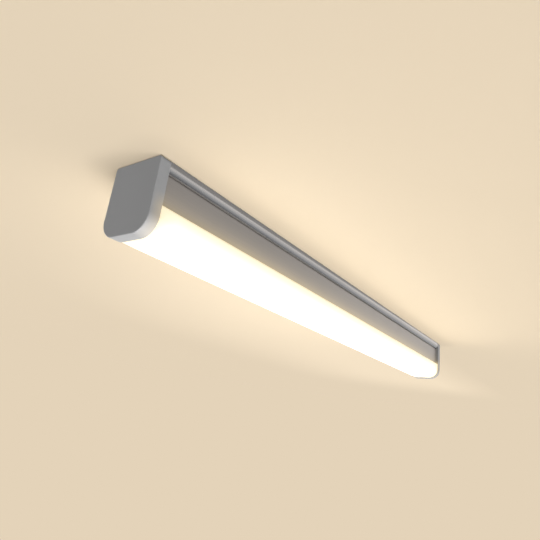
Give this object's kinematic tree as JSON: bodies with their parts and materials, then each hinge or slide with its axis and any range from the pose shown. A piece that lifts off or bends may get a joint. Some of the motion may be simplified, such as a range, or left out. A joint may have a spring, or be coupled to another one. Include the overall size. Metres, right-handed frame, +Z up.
{
  "type": "vapor tight light fixture",
  "caption": "Slim sealed ceiling batten light: grey extruded housing with a bead along the ceiling, opal diffuser with rounded lower corners, plain end covers and hidden clips.",
  "frame": {"origin": "midway between the two ceiling screws, on the ceiling plane at the top of the fixture", "axes": "+X along the batten, away from the end with the cable entry; +Y across it; +Z up into the ceiling"},
  "size_m": [0.6, 0.047, 0.055],
  "materials": {
    "housing": "fine satin anodised extrusion",
    "cover": "fine-textured grey moulding",
    "diffuser": "satin opal, lit from inside",
    "plate": "dark grey moulding",
    "seal": "soft grey silicone",
    "grommet": "black rubber",
    "screw": "zinc plated",
    "clip": "spring steel strip",
    "led_board": "white masked metal-core board",
    "led": "phosphor windows in white packages",
    "connector": "natural white moulding",
    "driver_case": "off-white moulding",
    "circuit_board": "green masked board",
    "ferrite": "sintered ferrite with taped winding",
    "capacitor": "dark sleeve",
    "terminal": "pale grey moulding",
    "contact": "tin plated",
    "leaf": "bright spring leaf",
    "live": "brown insulation",
    "neutral": "blue insulation",
    "earth": "green and yellow insulation",
    "led_positive": "red insulation",
    "led_negative": "black insulation"
  },
  "bodies": {
    "fixture": {"housing": "housing", "diffuser": "diffuser", "left_end_plate": "plate", "right_end_plate": "plate", "left_end_gasket": "seal", "right_end_gasket": "seal", "front_diffuser_seal": "seal", "rear_diffuser_seal": "seal", "cable_grommet": "grommet", "left_end_screws": "screw", "right_end_screws": "screw", "board_screws": "screw", "terminal_screws": "screw", "driver_screws": "screw", "earth_screw": "screw", "led_board_left": "led_board", "led_board_right": "led_board", "leds": "led", "board_link": "connector", "led_connector": "connector", "driver_tray": "driver_case", "driver_lid": "driver_case", "driver_board": "circuit_board", "driver_transformer": "ferrite", "driver_choke": "ferrite", "driver_capacitors": "capacitor", "terminal_block": "terminal", "terminal_contacts": "contact", "earth_lug": "contact", "clamp_springs": "leaf", "live_lead": "live", "neutral_lead": "neutral", "earth_lead": "earth", "led_lead_positive": "led_positive", "led_lead_negative": "led_negative"},
    "left_cover": {"left_end_cover": "cover"},
    "right_cover": {"right_end_cover": "cover"},
    "left_clip": {"left_ceiling_clip": "clip"},
    "right_clip": {"right_ceiling_clip": "clip"},
    "live_release": {"live_button": "live"},
    "neutral_release": {"neutral_button": "neutral"},
    "earth_release": {"earth_button": "earth"}
  },
  "joints": [
    {"name": "left_cover_pull", "type": "slide", "parent": "fixture", "child": "left_cover", "axis": [-1, 0, 0], "range_m": [0, 0.03]},
    {"name": "right_cover_pull", "type": "slide", "parent": "fixture", "child": "right_cover", "axis": [1, 0, 0], "range_m": [0, 0.03]},
    {"name": "left_clip_slide", "type": "slide", "parent": "fixture", "child": "left_clip", "axis": [1, 0, 0], "range_m": [-0.04, 0.04]},
    {"name": "right_clip_slide", "type": "slide", "parent": "fixture", "child": "right_clip", "axis": [1, 0, 0], "range_m": [-0.04, 0.04]},
    {"name": "live_press", "type": "slide", "parent": "fixture", "child": "live_release", "axis": [1, 0, 0], "range_m": [0, 0.002], "stiffness_N_per_m": 3000, "springref_m": -0.001},
    {"name": "neutral_press", "type": "slide", "parent": "fixture", "child": "neutral_release", "axis": [1, 0, 0], "range_m": [0, 0.002], "stiffness_N_per_m": 3000, "springref_m": -0.001},
    {"name": "earth_press", "type": "slide", "parent": "fixture", "child": "earth_release", "axis": [1, 0, 0], "range_m": [0, 0.002], "stiffness_N_per_m": 3000, "springref_m": -0.001}
  ]
}
